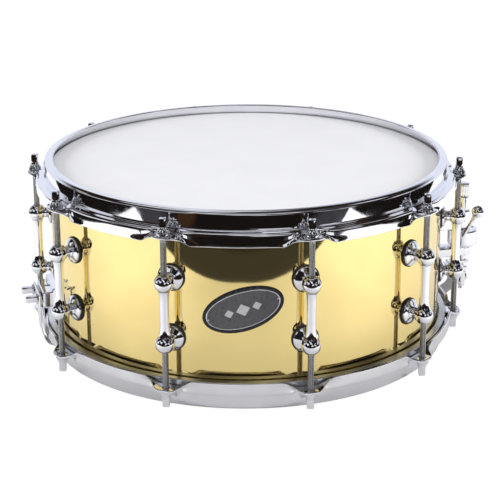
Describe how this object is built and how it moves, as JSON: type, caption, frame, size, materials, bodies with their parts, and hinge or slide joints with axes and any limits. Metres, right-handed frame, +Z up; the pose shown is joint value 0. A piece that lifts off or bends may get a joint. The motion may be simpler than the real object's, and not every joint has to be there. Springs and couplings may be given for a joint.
{
  "type": "snare drum",
  "caption": "Metal snare drum with a polished brass shell, tube lugs, turned-in steel hoops, coated head, badge, throw-off strainer and snare wires.",
  "frame": {"origin": "on the drum's axis, at the middle of the batter head's upper face; the drum stands on its lower rim at z = -0.163", "axes": "+Z up along the drum's axis towards the batter head; -Y towards the badge; the strainer is 108 degrees round from the badge towards +X"},
  "size_m": [0.4248, 0.3828, 0.172],
  "materials": {
    "shell_brass": "mirror polished, clear lacquer",
    "chrome": "mirror polished chrome plate",
    "head_coated": "sprayed white coating, fine grain",
    "head_clear": "thin hazy film",
    "flesh_hoop_aluminium": "satin",
    "badge_enamel": "dark enamel with a silver line",
    "snare_steel": "bright drawn wire",
    "strap_plastic": "clear-white strap",
    "gasket_rubber": "matt black"
  },
  "bodies": {
    "drum": {"shell": "shell_brass", "vent_grommet": "chrome", "badge": "badge_enamel", "batter_head_film": "head_coated", "snare_head_film": "head_clear", "lug_01": "chrome", "lug_02": "chrome", "lug_03": "chrome", "lug_04": "chrome", "lug_05": "chrome", "lug_06": "chrome", "lug_07": "chrome", "lug_08": "chrome", "lug_09": "chrome", "lug_10": "chrome", "strainer_base": "chrome", "strainer_mount_screw_1": "chrome", "strainer_mount_screw_2": "chrome", "butt_base": "chrome", "butt_clamp_plate": "chrome", "butt_mount_screw_1": "chrome", "butt_mount_screw_2": "chrome", "snare_strap_butt": "strap_plastic"},
    "top_hoop": {"top_hoop": "chrome", "batter_flesh_hoop": "flesh_hoop_aluminium"},
    "bottom_hoop": {"bottom_hoop": "chrome", "snare_flesh_hoop": "flesh_hoop_aluminium"},
    "top_rod_01": {"top_rod_01": "chrome"},
    "top_rod_02": {"top_rod_02": "chrome"},
    "top_rod_03": {"top_rod_03": "chrome"},
    "top_rod_04": {"top_rod_04": "chrome"},
    "top_rod_05": {"top_rod_05": "chrome"},
    "top_rod_06": {"top_rod_06": "chrome"},
    "top_rod_07": {"top_rod_07": "chrome"},
    "top_rod_08": {"top_rod_08": "chrome"},
    "top_rod_09": {"top_rod_09": "chrome"},
    "top_rod_10": {"top_rod_10": "chrome"},
    "bottom_rod_01": {"bottom_rod_01": "chrome"},
    "bottom_rod_02": {"bottom_rod_02": "chrome"},
    "bottom_rod_03": {"bottom_rod_03": "chrome"},
    "bottom_rod_04": {"bottom_rod_04": "chrome"},
    "bottom_rod_05": {"bottom_rod_05": "chrome"},
    "bottom_rod_06": {"bottom_rod_06": "chrome"},
    "bottom_rod_07": {"bottom_rod_07": "chrome"},
    "bottom_rod_08": {"bottom_rod_08": "chrome"},
    "bottom_rod_09": {"bottom_rod_09": "chrome"},
    "bottom_rod_10": {"bottom_rod_10": "chrome"},
    "strainer_lever": {"strainer_lever": "chrome", "strainer_cam": "chrome"},
    "strainer_slider": {"strainer_slider": "chrome"},
    "strainer_knob": {"strainer_tension_knob": "chrome"},
    "strainer_clamp": {"strainer_clamp_block": "chrome", "strainer_clamp_plate": "chrome"},
    "snare_wires": {"snare_wires": "snare_steel", "snare_strap_strainer": "strap_plastic"},
    "strainer_clamp_screw_1": {"strainer_clamp_screw_1": "chrome"},
    "strainer_clamp_screw_2": {"strainer_clamp_screw_2": "chrome"},
    "butt_clamp_screw_1": {"butt_clamp_screw_1": "chrome"},
    "butt_clamp_screw_2": {"butt_clamp_screw_2": "chrome"}
  },
  "joints": [
    {"name": "top_hoop_slide", "type": "slide", "parent": "drum", "child": "top_hoop", "axis": [0, 0, 1], "range_m": [-0.00132, 0.0037]},
    {"name": "top_rod_01_turn", "type": "hinge", "parent": "top_hoop", "child": "top_rod_01", "pos_m": [0.05952, -0.18317, -0.077], "axis": [0, 0, 1], "range_deg": [-450, 1260]},
    {"name": "top_rod_02_turn", "type": "hinge", "parent": "top_hoop", "child": "top_rod_02", "pos_m": [0.15582, -0.11321, -0.077], "axis": [0, 0, 1], "range_deg": [-450, 1260]},
    {"name": "top_rod_03_turn", "type": "hinge", "parent": "top_hoop", "child": "top_rod_03", "pos_m": [0.1926, 0, -0.077], "axis": [0, 0, 1], "range_deg": [-450, 1260]},
    {"name": "top_rod_04_turn", "type": "hinge", "parent": "top_hoop", "child": "top_rod_04", "pos_m": [0.15582, 0.11321, -0.077], "axis": [0, 0, 1], "range_deg": [-450, 1260]},
    {"name": "top_rod_05_turn", "type": "hinge", "parent": "top_hoop", "child": "top_rod_05", "pos_m": [0.05952, 0.18317, -0.077], "axis": [0, 0, 1], "range_deg": [-450, 1260]},
    {"name": "top_rod_06_turn", "type": "hinge", "parent": "top_hoop", "child": "top_rod_06", "pos_m": [-0.05952, 0.18317, -0.077], "axis": [0, 0, 1], "range_deg": [-450, 1260]},
    {"name": "top_rod_07_turn", "type": "hinge", "parent": "top_hoop", "child": "top_rod_07", "pos_m": [-0.15582, 0.11321, -0.077], "axis": [0, 0, 1], "range_deg": [-450, 1260]},
    {"name": "top_rod_08_turn", "type": "hinge", "parent": "top_hoop", "child": "top_rod_08", "pos_m": [-0.1926, 0, -0.077], "axis": [0, 0, 1], "range_deg": [-450, 1260]},
    {"name": "top_rod_09_turn", "type": "hinge", "parent": "top_hoop", "child": "top_rod_09", "pos_m": [-0.15582, -0.11321, -0.077], "axis": [0, 0, 1], "range_deg": [-450, 1260]},
    {"name": "top_rod_10_turn", "type": "hinge", "parent": "top_hoop", "child": "top_rod_10", "pos_m": [-0.05952, -0.18317, -0.077], "axis": [0, 0, 1], "range_deg": [-450, 1260]},
    {"name": "bottom_hoop_slide", "type": "slide", "parent": "drum", "child": "bottom_hoop", "axis": [0, 0, -1], "range_m": [-0.00132, 0.0037]},
    {"name": "bottom_rod_01_turn", "type": "hinge", "parent": "bottom_hoop", "child": "bottom_rod_01", "pos_m": [0.05952, -0.18317, -0.077], "axis": [0, 0, -1], "range_deg": [-450, 1260]},
    {"name": "bottom_rod_02_turn", "type": "hinge", "parent": "bottom_hoop", "child": "bottom_rod_02", "pos_m": [0.15582, -0.11321, -0.077], "axis": [0, 0, -1], "range_deg": [-450, 1260]},
    {"name": "bottom_rod_03_turn", "type": "hinge", "parent": "bottom_hoop", "child": "bottom_rod_03", "pos_m": [0.1926, 0, -0.077], "axis": [0, 0, -1], "range_deg": [-450, 1260]},
    {"name": "bottom_rod_04_turn", "type": "hinge", "parent": "bottom_hoop", "child": "bottom_rod_04", "pos_m": [0.15582, 0.11321, -0.077], "axis": [0, 0, -1], "range_deg": [-450, 1260]},
    {"name": "bottom_rod_05_turn", "type": "hinge", "parent": "bottom_hoop", "child": "bottom_rod_05", "pos_m": [0.05952, 0.18317, -0.077], "axis": [0, 0, -1], "range_deg": [-450, 1260]},
    {"name": "bottom_rod_06_turn", "type": "hinge", "parent": "bottom_hoop", "child": "bottom_rod_06", "pos_m": [-0.05952, 0.18317, -0.077], "axis": [0, 0, -1], "range_deg": [-450, 1260]},
    {"name": "bottom_rod_07_turn", "type": "hinge", "parent": "bottom_hoop", "child": "bottom_rod_07", "pos_m": [-0.15582, 0.11321, -0.077], "axis": [0, 0, -1], "range_deg": [-450, 1260]},
    {"name": "bottom_rod_08_turn", "type": "hinge", "parent": "bottom_hoop", "child": "bottom_rod_08", "pos_m": [-0.1926, 0, -0.077], "axis": [0, 0, -1], "range_deg": [-450, 1260]},
    {"name": "bottom_rod_09_turn", "type": "hinge", "parent": "bottom_hoop", "child": "bottom_rod_09", "pos_m": [-0.15582, -0.11321, -0.077], "axis": [0, 0, -1], "range_deg": [-450, 1260]},
    {"name": "bottom_rod_10_turn", "type": "hinge", "parent": "bottom_hoop", "child": "bottom_rod_10", "pos_m": [-0.05952, -0.18317, -0.077], "axis": [0, 0, -1], "range_deg": [-450, 1260]},
    {"name": "throw_lever", "type": "hinge", "parent": "drum", "child": "strainer_lever", "pos_m": [0.20543, 0.06675, -0.097], "axis": [0, 0, 1], "range_deg": [0, 180]},
    {"name": "throw_off_slide", "type": "slide", "parent": "drum", "child": "strainer_slider", "axis": [0, 0, -1], "range_m": [0, 0.005]},
    {"name": "tension_knob_turn", "type": "hinge", "parent": "strainer_slider", "child": "strainer_knob", "pos_m": [0.20543, 0.06675, -0.097], "axis": [0, 0, 1], "range_deg": [-720, 720]},
    {"name": "clamp_slide", "type": "slide", "parent": "strainer_slider", "child": "strainer_clamp", "axis": [0, 0, -1], "range_m": [-0.0016, 0.0016]},
    {"name": "snare_wires_tilt", "type": "hinge", "parent": "drum", "child": "snare_wires", "pos_m": [-0.17214, -0.05593, -0.1563], "axis": [-0.309, 0.9511, 0], "range_deg": [0, 0.75]},
    {"name": "strainer_clamp_screw_1_turn", "type": "hinge", "parent": "strainer_clamp", "child": "strainer_clamp_screw_1", "pos_m": [0.20549, 0.05362, -0.1293], "axis": [0.9511, 0.309, 0], "continuous": true},
    {"name": "strainer_clamp_screw_2_turn", "type": "hinge", "parent": "strainer_clamp", "child": "strainer_clamp_screw_2", "pos_m": [0.19776, 0.0774, -0.1293], "axis": [0.9511, 0.309, 0], "continuous": true},
    {"name": "butt_clamp_screw_1_turn", "type": "hinge", "parent": "drum", "child": "butt_clamp_screw_1", "pos_m": [-0.19202, -0.04977, -0.108], "axis": [-0.9511, -0.309, 0], "continuous": true},
    {"name": "butt_clamp_screw_2_turn", "type": "hinge", "parent": "drum", "child": "butt_clamp_screw_2", "pos_m": [-0.1846, -0.0726, -0.108], "axis": [-0.9511, -0.309, 0], "continuous": true}
  ],
  "couplings": [
    {"joint": "top_rod_01_turn", "follows": "top_hoop_slide", "rad_per_m": 5938.7},
    {"joint": "top_rod_02_turn", "follows": "top_hoop_slide", "rad_per_m": 5938.7},
    {"joint": "top_rod_03_turn", "follows": "top_hoop_slide", "rad_per_m": 5938.7},
    {"joint": "top_rod_04_turn", "follows": "top_hoop_slide", "rad_per_m": 5938.7},
    {"joint": "top_rod_05_turn", "follows": "top_hoop_slide", "rad_per_m": 5938.7},
    {"joint": "top_rod_06_turn", "follows": "top_hoop_slide", "rad_per_m": 5938.7},
    {"joint": "top_rod_07_turn", "follows": "top_hoop_slide", "rad_per_m": 5938.7},
    {"joint": "top_rod_08_turn", "follows": "top_hoop_slide", "rad_per_m": 5938.7},
    {"joint": "top_rod_09_turn", "follows": "top_hoop_slide", "rad_per_m": 5938.7},
    {"joint": "top_rod_10_turn", "follows": "top_hoop_slide", "rad_per_m": 5938.7},
    {"joint": "bottom_rod_01_turn", "follows": "bottom_hoop_slide", "rad_per_m": 5938.7},
    {"joint": "bottom_rod_02_turn", "follows": "bottom_hoop_slide", "rad_per_m": 5938.7},
    {"joint": "bottom_rod_03_turn", "follows": "bottom_hoop_slide", "rad_per_m": 5938.7},
    {"joint": "bottom_rod_04_turn", "follows": "bottom_hoop_slide", "rad_per_m": 5938.7},
    {"joint": "bottom_rod_05_turn", "follows": "bottom_hoop_slide", "rad_per_m": 5938.7},
    {"joint": "bottom_rod_06_turn", "follows": "bottom_hoop_slide", "rad_per_m": 5938.7},
    {"joint": "bottom_rod_07_turn", "follows": "bottom_hoop_slide", "rad_per_m": 5938.7},
    {"joint": "bottom_rod_08_turn", "follows": "bottom_hoop_slide", "rad_per_m": 5938.7},
    {"joint": "bottom_rod_09_turn", "follows": "bottom_hoop_slide", "rad_per_m": 5938.7},
    {"joint": "bottom_rod_10_turn", "follows": "bottom_hoop_slide", "rad_per_m": 5938.7},
    {"joint": "throw_lever", "follows": "throw_off_slide", "rad_per_m": 628.3},
    {"joint": "snare_wires_tilt", "follows": "throw_off_slide", "rad_per_m": 2.58},
    {"joint": "tension_knob_turn", "follows": "clamp_slide", "rad_per_m": 7853.9}
  ]
}
